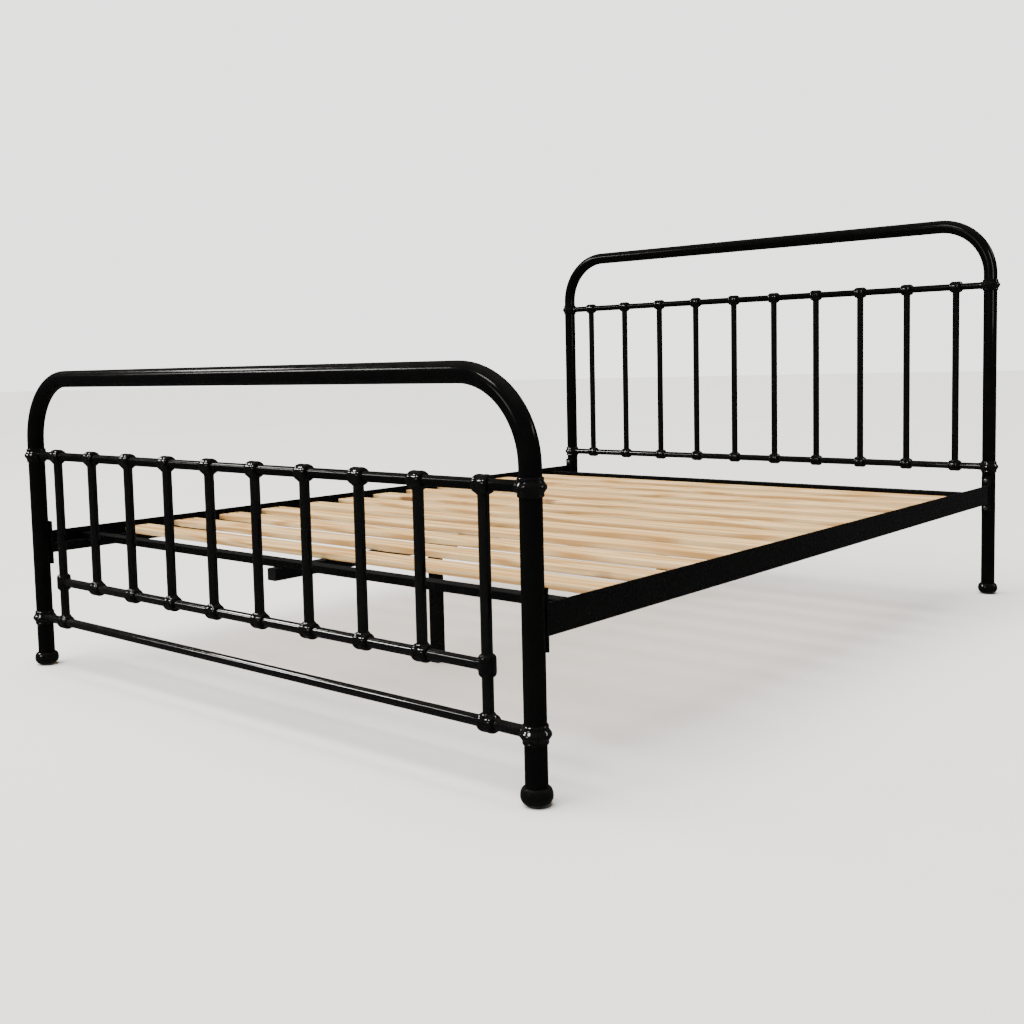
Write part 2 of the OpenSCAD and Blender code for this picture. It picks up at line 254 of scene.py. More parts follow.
@dataclass(frozen=True)
class Enamel:
    """Stoved black enamel, sprayed on steel or iron and baked.

    It gives a deep black with sharp small highlights, broken a little by the
    peel of the sprayed coat and by the metal's own unevenness under it.
    """

    name: str
    roughness: float
    peel_mm: float = 2.6  # real peel is nearer 1 mm, drawn coarser so that it shows
    peel_depth_mm: float = 0.006
    swell_mm: float = 45.0
    swell_depth_mm: float = 0.10
    seam_y: float | None = None  # the plane where the two halves of a mould met
    seam_half_mm: float = 0.45
    seam_depth_mm: float = 0.18
    colour: str = "#040405"
    thin_colour: str = "#090908"
    dust_colour: str = "#8A857C"
    dust_amount: float = 0.035
    dust_slope: float = 0.35  # dust lies where the normal's Z is more than this
    patch_mm: float = 28.0  # size of the patches of dust and of rubbed gloss
    patch_range: tuple[float, float] = (0.3, 0.7)  # of the noise, from most rubbed to dullest
    rubbed: float = 0.8  # share of the roughness where a patch is rubbed most
    dulled: float = 1.25  # and where it is dullest
    gloss: float = 0.3
    coat: float = 0.5
    coat_roughness: float = 0.04
    coat_ior: float = 1.5

    def build(self) -> bpy.types.Material:
        """Makes the material.

        Returns:
            The enamel.
        """
        made = Surface(self.name)
        # long swells of the tube or casting, then the peel of the coat over them
        scale = per_metre(self.swell_mm)
        swell = made.add(NOISE, {"Vector": made.place, "Scale": scale, "Detail": 2.0})
        normal = made.add(BUMP, {"Distance": self.swell_depth_mm * MM, "Height": swell})
        if self.seam_y is not None:
            normal = self.seam(made, normal)
        scale = per_metre(self.peel_mm)
        peel = made.add(NOISE, {"Vector": made.place, "Scale": scale, "Detail": 1.0})
        depth = self.peel_depth_mm * MM
        normal = made.add(BUMP, {"Distance": depth, "Height": peel, "Normal": normal})
        # fine dust lies where the surface faces up
        facing = made.add("ShaderNodeNewGeometry", out="Normal")
        up = made.add("ShaderNodeSeparateXYZ", {"Vector": facing}, out="Z")
        slope = {"Value": up, "From Min": self.dust_slope, "To Max": self.dust_amount}
        lying = made.add(RANGE, slope)
        scale = per_metre(self.patch_mm)
        patchy = made.add(NOISE, {"Vector": made.place, "Scale": scale, "Detail": 5.0})
        dust = made.add(MATH, {0: lying, 1: patchy}, operation="MULTIPLY")
        shades = {"Factor": swell, "A": linear(self.colour), "B": linear(self.thin_colour)}
        black = made.add(MIX, shades, **COLOUR_MIX)
        shades = {"Factor": dust, "A": black, "B": linear(self.dust_colour)}
        colour = made.add(MIX, shades, **COLOUR_MIX)
        rough = made.add(
            RANGE,
            {
                "Value": patchy,
                "From Min": self.patch_range[0],
                "From Max": self.patch_range[1],
                "To Min": self.roughness * self.rubbed,
                "To Max": self.roughness * self.dulled,
            },
        )
        return made.close(
            Base_Color=colour,
            Roughness=rough,
            Normal=normal,
            Specular_IOR_Level=self.gloss,
            Coat_Weight=self.coat,
            Coat_Roughness=self.coat_roughness,
            Coat_IOR=self.coat_ior,
        )

    def seam(self, made: Surface, normal: bpy.types.NodeSocket) -> bpy.types.NodeSocket:
        """Raises the mould line on the plane y = seam_y and on its mirror image.

        Args:
            made: The enamel under construction.
            normal: The normal so far.

        Returns:
            The normal with the line on it.
        """
        y = made.add("ShaderNodeSeparateXYZ", {"Vector": made.place}, out="Y")
        either_end = made.add(MATH, {0: y}, operation="ABSOLUTE")
        offset = made.add(MATH, {0: either_end, 1: self.seam_y}, operation="SUBTRACT")
        away = made.add(MATH, {0: offset}, operation="ABSOLUTE")
        ridge = made.add(
            RANGE,
            {"Value": away, "From Max": self.seam_half_mm * MM, "To Min": 1.0, "To Max": 0.0},
            interpolation_type="SMOOTHSTEP",
        )
        depth = self.seam_depth_mm * MM
        return made.add(BUMP, {"Distance": depth, "Height": ridge, "Normal": normal})


@dataclass(frozen=True)
class ZincPlate:
    """Bright zinc plating on turned steel, which gives a cool grey with soft blotches."""

    name: str = "bright_zinc_plate_on_steel"
    colour: str = "#C6C9CC"
    dull_colour: str = "#9CA1A6"
    bright_rough: float = 0.22
    dull_rough: float = 0.46
    blotch_mm: float = 6.0
    turning_mm: float = 0.6
    turning_depth_mm: float = 0.01

    def build(self) -> bpy.types.Material:
        """Makes the material.

        Returns:
            The plating.
        """
        made = Surface(self.name)
        scale = per_metre(self.blotch_mm)
        blotch = made.add(NOISE, {"Vector": made.place, "Scale": scale, "Detail": 4.0})
        shades = {"Factor": blotch, "A": linear(self.colour), "B": linear(self.dull_colour)}
        colour = made.add(MIX, shades, **COLOUR_MIX)
        limits = {"Value": blotch, "To Min": self.bright_rough, "To Max": self.dull_rough}
        rough = made.add(RANGE, limits)
        scale = per_metre(self.turning_mm)
        marks = made.add(NOISE, {"Vector": made.place, "Scale": scale, "Detail": 2.0})
        normal = made.add(BUMP, {"Distance": self.turning_depth_mm * MM, "Height": marks})
        return made.close(Base_Color=colour, Metallic=1.0, Roughness=rough, Normal=normal)


@dataclass(frozen=True)
class MouldedPlastic:
    """Black polyethylene from a spark-eroded mould, which gives an even matt grain."""

    name: str = "black_moulded_polyethylene"
    colour: str = "#0B0B0C"
    worn_colour: str = "#161618"
    patch_mm: float = 14.0
    new_rough: float = 0.42
    worn_rough: float = 0.6
    grain_mm: float = 0.9
    grain_depth_mm: float = 0.03

    def build(self) -> bpy.types.Material:
        """Makes the material.

        Returns:
            The plastic.
        """
        made = Surface(self.name)
        scale = per_metre(self.patch_mm)
        patches = made.add(NOISE, {"Vector": made.place, "Scale": scale, "Detail": 4.0})
        shades = {"Factor": patches, "A": linear(self.colour), "B": linear(self.worn_colour)}
        colour = made.add(MIX, shades, **COLOUR_MIX)
        scale = per_metre(self.grain_mm)
        grain = made.add(NOISE, {"Vector": made.place, "Scale": scale, "Detail": 1.0})
        limits = {"Value": patches, "To Min": self.new_rough, "To Max": self.worn_rough}
        rough = made.add(RANGE, limits)
        normal = made.add(BUMP, {"Distance": self.grain_depth_mm * MM, "Height": grain})
        return made.close(Base_Color=colour, Roughness=rough, Normal=normal)


@dataclass(frozen=True)
class Pine:
    """Planed pine without varnish: pale early wood, darker late wood and a few knots.

    The growth rings meet a flat-sawn face as long pointed arches, so the ring
    field is stretched along the plank. The attribute "plank" shifts the field, so
    that no two planks look cut from the same place.
    """

    name: str = "planed_pine"
    early_colour: str = "#DDBB86"
    late_colour: str = "#B98A4F"
    knot_colour: str = "#6B4423"
    early_rough: float = 0.62
    late_rough: float = 0.48
    plank_shift: Point = (5.3, 7.9, 11.7)  # times the plank's own number
    ring_width_mm: float = 70.0
    ring_along: float = 1.1  # scale of the ring pattern along a plank, per metre
    rings: float = 9.0
    late_from: float = -0.6  # where in a ring's wave the late wood begins
    late_amount: float = 0.8
    fibre_mm: float = 0.7
    fibre_along: float = 9.0  # the same for the fibres
    fibre_amount: float = 0.35
    knots_per_metre: Point = (2.4, 7.0, 2.0)  # along, across and through a plank
    knot_heart: float = 0.05  # radius, where the knots lie about 1 apart
    knot_rim: float = 0.1  # the same
    knot_amount: float = 0.85
    relief_mm: float = 0.06

    def build(self) -> bpy.types.Material:
        """Makes the material.

        Returns:
            The wood.
        """
        made = Surface(self.name)
        plank = made.add("ShaderNodeAttribute", out="Fac", attribute_name="plank")
        shift = made.add(COMBINE, {"X": plank, "Y": plank, "Z": plank})
        spread = made.add(VECTOR_MATH, {0: shift, 1: self.plank_shift}, operation="MULTIPLY")
        moved = made.add(VECTOR_MATH, {0: made.place, 1: spread}, operation="ADD")
        across = per_metre(self.ring_width_mm)
        stretch = (self.ring_along, across, across)
        log_space = made.add(VECTOR_MATH, {0: moved, 1: stretch}, operation="MULTIPLY")
        growth = made.add(NOISE, {"Vector": log_space, "Scale": 1.0, "Detail": 1.5})
        turns = made.add(MATH, {0: growth, 1: self.rings * 2 * math.pi}, operation="MULTIPLY")
        wave = made.add(MATH, {0: turns}, operation="SINE")
        limits = {"From Min": self.late_from, "From Max": 1.0, "To Max": self.late_amount}
        late = made.add(RANGE, {"Value": wave, **limits})
        across = per_metre(self.fibre_mm)
        stretch = (self.fibre_along, across, across)
        fibre_space = made.add(VECTOR_MATH, {0: moved, 1: stretch}, operation="MULTIPLY")
        fibre = made.add(NOISE, {"Vector": fibre_space, "Scale": 1.0, "Detail": 2.0})
        streaked = made.add(
            MATH, {0: fibre, 1: self.fibre_amount, 2: late}, operation="MULTIPLY_ADD"
        )
        shades = {"Factor": streaked, "A": linear(self.early_colour), "B": linear(self.late_colour)}
        wood = made.add(MIX, shades, **COLOUR_MIX, clamp_factor=True)
        knot_space = made.add(
            VECTOR_MATH, {0: moved, 1: self.knots_per_metre}, operation="MULTIPLY"
        )
        cells = {"Vector": knot_space, "Scale": 1.0}
        heart = made.add("ShaderNodeTexVoronoi", cells, out="Distance")
        limits = {"From Min": self.knot_heart, "From Max": self.knot_rim}
        knotty = made.add(
            RANGE, {"Value": heart, **limits, "To Min": self.knot_amount, "To Max": 0.0}
        )
        shades = {"Factor": knotty, "A": wood, "B": linear(self.knot_colour)}
        colour = made.add(MIX, shades, **COLOUR_MIX)
        limits = {"Value": late, "To Min": self.early_rough, "To Max": self.late_rough}
        rough = made.add(RANGE, limits)
        normal = made.add(BUMP, {"Distance": self.relief_mm * MM, "Height": streaked})
        return made.close(Base_Color=colour, Roughness=rough, Normal=normal)


@dataclass(frozen=True)
class StudioPaper:
    """Pale seamless paper under the frame, matt and all but even."""

    name: str = "pale_studio_paper"
    colour: str = "#E9E7E3"
    shade_colour: str = "#E2E0DB"
    patch_mm: float = 1250.0
    roughness: float = 0.85
    gloss: float = 0.1

    def build(self) -> bpy.types.Material:
        """Makes the material.

        Returns:
            The paper.
        """
        made = Surface(self.name)
        scale = per_metre(self.patch_mm)
        patches = made.add(NOISE, {"Vector": made.place, "Scale": scale, "Detail": 3.0})
        shades = {"Factor": patches, "A": linear(self.colour), "B": linear(self.shade_colour)}
        colour = made.add(MIX, shades, **COLOUR_MIX)
        return made.close(
            Base_Color=colour, Roughness=self.roughness, Specular_IOR_Level=self.gloss
        )


class Paint:
    """Keeps one material for each finish and puts it on nodes and pieces."""

    def __init__(self) -> None:
        """Starts with no materials."""
        self.made: dict[str, bpy.types.Material] = {}

    def of(self, finish: Finish) -> bpy.types.Material:
        """Looks up a finish, and makes it on its first use.

        Args:
            finish: The finish.

        Returns:
            Its material.
        """
        if finish.name not in self.made:
            self.made[finish.name] = finish.build()
        return self.made[finish.name]

    def dress(self, frame: dict[str, Any], nodes: Iterable[str], finish: Finish) -> None:
        """Gives CAD nodes a finish.

        Args:
            nodes: The nodes' names.
            finish: The finish for all of them.
        """
        for node in nodes:
            for slot in frame["nodes"][node].material_slots:
                slot.material = self.of(finish)
            LOG.info("node %s: %s", node, finish.name)


# ---- Geometry Nodes ----


class Recipe(Tree):
    """A Geometry Nodes tree with named inputs, which ends in a plain mesh."""

    SOCKETS = {int: "NodeSocketInt", float: "NodeSocketFloat"}

    def __init__(self, name: str, sizes: dict[str, float | int]) -> None:
        """Starts a tree.

        Args:
            name: The tree's name.
            sizes: Its inputs and their values.
        """
        self.tree = bpy.data.node_groups.new(name, "GeometryNodeTree")
        face = self.tree.interface
        self.values: dict[str, Any] = {}
        face.new_socket("Points", in_out="INPUT", socket_type="NodeSocketGeometry")
        for label, value in sizes.items():
            made = face.new_socket(label, in_out="INPUT", socket_type=self.SOCKETS[type(value)])
            self.values[made.identifier] = value
        made = face.new_socket("Finish", in_out="INPUT", socket_type="NodeSocketMaterial")
        self.finish_key = made.identifier
        face.new_socket("Geometry", in_out="OUTPUT", socket_type="NodeSocketGeometry")
        self.inputs = self.tree.nodes.new("NodeGroupInput").outputs

    def __getitem__(self, label: str) -> bpy.types.NodeSocket:
        """Returns the tree's input of that name."""
        return self.inputs[label]

    def close(self, instances: bpy.types.NodeSocket, sharp_deg: float = 40.0) -> None:
        """Ends the tree: real geometry, smooth but for its sharp edges, with its finish.

        Args:
            instances: The geometry so far.
            sharp_deg: Edges that turn more than this stay sharp.
        """
        real = self.add("GeometryNodeRealizeInstances", {"Geometry": instances})
        smooth = self.add("GeometryNodeSetShadeSmooth", {"Geometry": real, "Shade Smooth": True})
        angle = self.add("GeometryNodeInputMeshEdgeAngle", out="Unsigned Angle")
        turned = self.add("FunctionNodeCompare", {"A": angle, "B": math.radians(sharp_deg)})
        edged = self.add(
            "GeometryNodeSetShadeSmooth",
            {"Geometry": smooth, "Selection": turned, "Shade Smooth": False},
            domain="EDGE",
        )
        dressed = self.add(
            "GeometryNodeSetMaterial", {"Geometry": edged, "Material": self["Finish"]}
        )
        self.tree.nodes.new("NodeGroupOutput")
        self.tree.links.new(dressed, self.tree.nodes["Group Output"].inputs["Geometry"])

    def make(
        self,
        name: str,
        points: Sequence[Point],
        finish: bpy.types.Material,
        runs: Sequence[Point] | None = None,
    ) -> bpy.types.Object:
        """Runs the tree on a set of points and keeps the result as a plain mesh.

        Args:
            name: The piece's name.
            points: Where the copies go.
            finish: The material of the piece.
            runs: The direction of the copy at each point, where it matters.

        Returns:
            The piece, with no modifier left on it.
        """
        seeds = bpy.data.meshes.new(name)
        seeds.from_pydata([tuple(p) for p in points], [], [])
        if runs is not None:
            stored = seeds.attributes.new("run", "FLOAT_VECTOR", "POINT")
            stored.data.foreach_set("vector", [v for run in runs for v in run])
        piece = put_in_scene(name, seeds)
        modifier = piece.modifiers.new("recipe", "NODES")
        modifier.node_group = self.tree
        for key, value in self.values.items():
            modifier[key] = value
        modifier[self.finish_key] = finish
        graph = bpy.context.evaluated_depsgraph_get()
        result = bpy.data.meshes.new_from_object(piece.evaluated_get(graph), depsgraph=graph)
        piece.modifiers.remove(modifier)
        piece.data = result
        result.name = name
        bpy.data.meshes.remove(seeds)
        return piece


def settle(piece: bpy.types.Object, stands_for: Sequence[str] = ()) -> None:
    """Puts a finished piece on the frame and reports it.

    Args:
        piece: The piece, in place.
        stands_for: The CAD nodes that it replaces.
    """
    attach(piece, BODY)
    if stands_for:
        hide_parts(*stands_for)
    LOG.info("piece %s: %d faces, rides on %s", piece.name, len(piece.data.polygons), BODY)


# ---- Sub-assemblies ----


WORN_ENAMEL = Enamel("stoved_enamel_dulled_by_hands", roughness=0.14, gloss=0.15, coat=0.05)
BAR_ENAMEL = Enamel("stoved_enamel_on_drawn_bars", roughness=0.11, coat=1.0, coat_ior=1.7)
CASTING_ENAMEL = Enamel(
    "stoved_enamel_on_sand_castings",
    roughness=0.11,
    peel_mm=3.4,
    peel_depth_mm=0.004,
    swell_mm=14.0,
    swell_depth_mm=0.06,
    seam_y=1.055,  # the middle plane of each end panel
    coat=1.0,
)
RAIL_ENAMEL = Enamel(
    "stoved_enamel_on_rolled_steel",
    roughness=0.26,
    swell_mm=160.0,
    swell_depth_mm=0.06,
    peel_depth_mm=0.004,
    coat=0.25,
    thin_colour="#0B0B0A",
)
ZINC_PLATE = ZincPlate()
BLACK_PLASTIC = MouldedPlastic()
PLANED_PINE = Pine()


@dataclass
class EndPanel:
    """A hooped end with its rails, uprights, castings and bun feet.

    Attributes:
        end: Which end, as its nodes' names begin.
        bars: The lower rails and the stiles.
        spindles: How many spindles it has.
        castings: The cast joints and feet.
    """

    end: str
    bars: tuple[str, ...]
    spindles: int
    castings: tuple[str, ...]

    def dress(self, frame: dict[str, Any], paint: Paint) -> None:
        """Gives every tube and casting its enamel, duller where hands take hold of it.

        Args:
            paint: The materials.
        """
        spindles = tuple(f"spindle_{i + 1}" for i in range(self.spindles))
        for parts, enamel in (
            (("hoop", "top_rail"), WORN_ENAMEL),
            (self.bars + spindles, BAR_ENAMEL),
            (self.castings, CASTING_ENAMEL),
        ):
            paint.dress(frame, [f"{self.end}_{part}" for part in parts], enamel)


@dataclass
class WeldBeads:
    """Short rippled weld beads under the enamel.

    Attributes:
        radius: Half the width of a bead.
        ripple: Distance from one ripple to the next.
        ripple_depth: Depth of a ripple, as a share of the radius.
        ripple_points: Points along the bead for each ripple.
        sides: Sides of the bead's round section.
        bluntness: Power of the curve to which the bead's ends taper.
        tip: Radius at the very end, as a share of the radius.
        sunk: Share of the radius by which a bead's middle lies inside the corner.
        sharp_deg: Edges that turn more than this stay sharp.
    """

    radius: float = 2.1 * MM
    ripple: float = 2.4 * MM
    ripple_depth: float = 0.22
    ripple_points: float = 4.0
    sides: int = 10
    bluntness: float = 10.0
    tip: float = 0.12
    sunk: float = 0.25
    sharp_deg: float = 60.0

    def recipe(self, length: float) -> Recipe:
        """Makes the tree of one bead, copied to each point along its run.

        Args:
            length: How long each bead is.

        Returns:
            The tree.
        """
        sizes = {"Length": length, "Radius": self.radius, "Ripple": self.ripple}
        made = Recipe("weld_bead", sizes)
        half = made.add(MATH, {0: made["Length"], 1: 0.5}, operation="MULTIPLY")
        back = made.add(MATH, {0: half, 1: -1.0}, operation="MULTIPLY")
        start = made.add(COMBINE, {"Z": back})
        end = made.add(COMBINE, {"Z": half})
        path = made.add("GeometryNodeCurvePrimitiveLine", {"Start": start, "End": end})
        waves = made.add(MATH, {0: made["Length"], 1: made["Ripple"]}, operation="DIVIDE")
        count = made.add(
            MATH, {0: waves, 1: self.ripple_points, 2: 1.0}, operation="MULTIPLY_ADD"
        )
        points = made.add("GeometryNodeResampleCurve", {"Curve": path, "Count": count})
        share = made.add("GeometryNodeSplineParameter", out="Factor")
        phase = made.add(MATH, {0: share, 1: waves}, operation="MULTIPLY")
        turn = made.add(MATH, {0: phase, 1: math.pi}, operation="MULTIPLY")
        swing = made.add(MATH, {0: turn}, operation="SINE")
        swell = made.add(MATH, {0: swing}, operation="ABSOLUTE")
        depths = {1: self.ripple_depth, 2: 1.0 - self.ripple_depth}
        ripple = made.add(MATH, {0: swell, **depths}, operation="MULTIPLY_ADD")
        # both ends of a bead taper to a blunt point
        centred = made.add(MATH, {0: share, 1: 2.0, 2: -1.0}, operation="MULTIPLY_ADD")
        away = made.add(MATH, {0: centred}, operation="ABSOLUTE")
        steep = made.add(MATH, {0: away, 1: self.bluntness}, operation="POWER")
        taper = made.add(MATH, {0: 1.0, 1: steep}, operation="SUBTRACT")
        least = made.add(MATH, {0: taper, 1: self.tip}, operation="MAXIMUM")
        width = made.add(MATH, {0: ripple, 1: least}, operation="MULTIPLY")
        ring = made.add(
            "GeometryNodeCurvePrimitiveCircle",
            {"Resolution": self.sides, "Radius": made["Radius"]},
        )
        bead = made.add(
            "GeometryNodeCurveToMesh",
            {"Curve": points, "Profile Curve": ring, "Scale": width, "Fill Caps": True},
        )
        run = made.add(
            "GeometryNodeInputNamedAttribute", {"Name": "run"}, data_type="FLOAT_VECTOR"
        )
        turned = made.add("FunctionNodeAlignRotationToVector", {"Vector": run}, axis="Z")
        copies = made.add(
            "GeometryNodeInstanceOnPoints",
            {"Points": made["Points"], "Instance": bead, "Rotation": turned},
        )
        made.close(copies, self.sharp_deg)
        return made

    def lay(
        self,
        name: str,
        points: Sequence[Point],
        run: Run,
        length: float,
        finish: bpy.types.Material,
    ) -> None:
        """Lays beads of one length at a set of points, as one piece.

        Args:
            name: The piece's name.
            points: The middle of each bead.
            run: The direction of all of them.
            length: How long each one is.
            finish: Their enamel.
        """
        piece = self.recipe(length).make(name, points, finish, [run.value] * len(points))
        settle(piece)


@dataclass
class SideRails:
    """The two side rails, with the ledges and end plates welded to them.

    Attributes:
        bead_length: Length of a stitch weld along a ledge.
        beads: The weld beads.
    """

    bead_length: float = 32 * MM
    beads: WeldBeads = field(default_factory=WeldBeads)

    def dress(self, frame: dict[str, Any], paint: Paint) -> None:
        """Gives the rails, ledges and end plates their enamel.

        Args:
            paint: The materials.
        """
        nodes = (
            "side_rail_left",
            "side_rail_right",
            "slat_ledge_left",
            "slat_ledge_right",
            "rail_end_plates",
        )
        paint.dress(frame, nodes, RAIL_ENAMEL)

    def weld(self, paint: Paint, gaps: Sequence[float]) -> None:
        """Lays the stitch welds over the ledges and the upright welds on the plates.

        Args:
            paint: The materials.
            gaps: The Y of the middle of each gap between slats.
        """
        rail_low, rail_high = (Vector(v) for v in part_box("side_rail_right"))
        ledge_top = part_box("slat_ledge_right")[1][2]
        inset = self.beads.radius * self.beads.sunk
        inner, outer = rail_low.x - inset, rail_high.x + inset
        stitches = [(side * inner, y, ledge_top + inset) for side in (-1, 1) for y in gaps]
        enamel = paint.of(RAIL_ENAMEL)
        self.beads.lay("ledge_stitch_welds", stitches, Run.ALONG, self.bead_length, enamel)
        height = rail_high.z - rail_low.z
        mid = (rail_high.z + rail_low.z) / 2
        end = rail_high.y - inset
        corners = [
            (side * x, way * end, mid)
            for side in (-1, 1)
            for way in (-1, 1)
            for x in (inner, outer)
        ]
        self.beads.lay("end_plate_welds", corners, Run.UPRIGHT, height, enamel)


@dataclass
class CentreSupport:
    """The centre beam, its two legs and the cross bars.

    Attributes:
        leg_side: Width of the square tube of a leg.
        flange_thickness: Thickness of the flange on top of a leg.
        beads: The weld beads.
    """

    leg_side: float = 25 * MM
    flange_thickness: float = 3 * MM
    beads: WeldBeads = field(default_factory=lambda: WeldBeads(radius=1.8 * MM))

    def dress(self, frame: dict[str, Any], paint: Paint) -> None:
        """Gives the tubes their enamel and the plugs their plastic.

        Args:
            paint: The materials.
        """
        nodes = (
            "centre_beam",
            "centre_leg_foot",
            "centre_leg_head",
            "cross_bar_foot",
            "cross_bar_head",
        )
        paint.dress(frame, nodes, RAIL_ENAMEL)
        paint.dress(frame, ("beam_end_plugs", "leg_sole_plugs"), BLACK_PLASTIC)

    def weld(self, paint: Paint) -> None:
        """Lays the welds under the leg flanges, on the two sides where the flange stands out.

        Args:
            paint: The materials.
        """
        inset = self.beads.radius * self.beads.sunk
        reach = self.leg_side / 2 + inset
        points = []
        for leg in ("centre_leg_foot", "centre_leg_head"):
            y, z = middle(leg).y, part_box(leg)[1][2] - self.flange_thickness - inset
            points += [(0.0, y + way * reach, z) for way in (-1, 1)]
        enamel = paint.of(RAIL_ENAMEL)
        self.beads.lay("leg_flange_welds", points, Run.ACROSS, self.leg_side, enamel)


@dataclass
class SlatDeck:
    """The pine slats and the screws that hold them to the ledges.

    Attributes:
        count: How many slats there are.
        width: Width of a slat.
        edge_radius: Radius of a slat's eased long edges.
        edge_steps: Flat steps in which an edge is rounded.
        screw_inset: Distance from a slat's end to its screws.
        screw_half_gap: Half the distance between the two screws at one end.
        head_radius: Radius of a screw's head.
        head_dome: Height of the head above the wood.
        head_sides: Sides of the head's outline.
        head_rings: Rings of faces from the bottom of the head's ball to its top.
        cross_reach: Length of the cross cut into a head, as a share of its radius.
        cross_width: Width of its arms, as a share of the radius.
        sharp_deg: A screw's edges that turn more than this stay sharp.
        seed: Seed of the planks' shift in the grain.
    """

    count: int = 12
    width: float = 70 * MM
    edge_radius: float = 3 * MM
    edge_steps: int = 5
    screw_inset: float = 11 * MM
    screw_half_gap: float = 17 * MM
    head_radius: float = 4.2 * MM
    head_dome: float = 0.7 * MM
    head_sides: int = 20
    head_rings: int = 10
    cross_reach: float = 1.15
    cross_width: float = 0.24
    sharp_deg: float = 35.0
    seed: int = 11

    def rows(self) -> list[float]:
        """Works out where the slats lie.

        Returns:
            The Y of the middle of each slat.
        """
        low, high = (Vector(v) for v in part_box("slats"))
        first, last = low.y + self.width / 2, high.y - self.width / 2
        return [first + (last - first) * i / (self.count - 1) for i in range(self.count)]

    def gaps(self) -> list[float]:
        """Returns the Y of the middle of each gap between two slats."""
        rows = self.rows()
        return [(a + b) / 2 for a, b in zip(rows, rows[1:])]

    def lay_planks(self, paint: Paint) -> None:
        """Makes the planks, each with its long edges eased.

        Args:
            paint: The materials.
        """
        low, high = (Vector(v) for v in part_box("slats"))
        made = Recipe(
            "planks",
            {
                "Length": high.x - low.x,
                "Width": self.width,
                "Thickness": high.z - low.z,
                "Edge Radius": self.edge_radius,
                "Seed": self.seed,
            },
        )
        half = made.add(MATH, {0: made["Length"], 1: 0.5}, operation="MULTIPLY")
        back = made.add(MATH, {0: half, 1: -1.0}, operation="MULTIPLY")
        start = made.add(COMBINE, {"X": back})
        end = made.add(COMBINE, {"X": half})
        path = made.add("GeometryNodeCurvePrimitiveLine", {"Start": start, "End": end})
        section = made.add(
            "GeometryNodeCurvePrimitiveQuadrilateral",
            {"Width": made["Width"], "Height": made["Thickness"]},
        )
        eased = made.add(
            "GeometryNodeFilletCurve",
            {"Curve": section, "Radius": made["Edge Radius"], "Count": self.edge_steps},
            mode="POLY",
        )
        plank = made.add(
            "GeometryNodeCurveToMesh", {"Curve": path, "Profile Curve": eased, "Fill Caps": True}
        )
        copies = made.add(
            "GeometryNodeInstanceOnPoints", {"Points": made["Points"], "Instance": plank}
        )
        number = made.add(
            "FunctionNodeRandomValue", {"Seed": made["Seed"]}, out="Value", data_type="FLOAT"
        )
        marked = made.add(
            "GeometryNodeStoreNamedAttribute",
            {"Geometry": copies, "Name": "plank", "Value": number},
            domain="INSTANCE",
        )
        made.close(marked)
        z = (low.z + high.z) / 2
        piece = made.make("slat_planks", [(0.0, y, z) for y in self.rows()], paint.of(PLANED_PINE))
        settle(piece, ["slats"])
        piece.visible_glossy = False  # like the floor, kept out of the enamel's gloss

    def drive_screws(self, paint: Paint) -> None:
        """Makes the countersunk screws: low domes with a cross cut into each.

        Args:
            paint: The materials.
        """
        low, high = (Vector(v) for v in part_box("slats"))
        made = Recipe("slat_screws", {"Head Radius": self.head_radius, "Dome": self.head_dome})
        radius, dome = made["Head Radius"], made["Dome"]
        ball = made.add(
            "GeometryNodeMeshUVSphere",
            {"Segments": self.head_sides, "Rings": self.head_rings, "Radius": 1.0},
        )
        size = made.add(COMBINE, {"X": radius, "Y": radius, "Z": dome})
        cut = made.add("GeometryNodeTransform", {"Geometry": ball, "Scale": size})
        reach = made.add(MATH, {0: radius, 1: self.cross_reach}, operation="MULTIPLY")
        width = made.add(MATH, {0: radius, 1: self.cross_width}, operation="MULTIPLY")
        raised = made.add(COMBINE, {"Z": dome})
        for x, y in ((reach, width), (width, reach)):
            side = made.add(COMBINE, {"X": x, "Y": y, "Z": dome})
            bar = made.add("GeometryNodeMeshCube", {"Size": side})
            arm = made.add("GeometryNodeTransform", {"Geometry": bar, "Translation": raised})
            cut = made.add(
                "GeometryNodeMeshBoolean", {"Mesh 1": cut, "Mesh 2": arm}, operation="DIFFERENCE"
            )
        copies = made.add(
            "GeometryNodeInstanceOnPoints", {"Points": made["Points"], "Instance": cut}
        )
        made.close(copies, self.sharp_deg)
        ends = (low.x + self.screw_inset, high.x - self.screw_inset)
        points = [
            (x, y + way * self.screw_half_gap, high.z)
            for y in self.rows()
            for x in ends
            for way in (-1, 1)
        ]
        settle(made.make("slat_screws", points, paint.of(ZINC_PLATE)))


@dataclass
class Hardware:
    """The bolts, threaded inserts and screws of the CAD frame.

    Attributes:
        nodes: Their nodes' names.
    """

    nodes: tuple[str, ...] = ("rail_bolts", "post_inserts", "leg_screws", "cross_bar_screws")

    def dress(self, frame: dict[str, Any], paint: Paint) -> None:
        """Gives the hardware its plating."""
        paint.dress(frame, self.nodes, ZINC_PLATE)


# ---- Studio ----


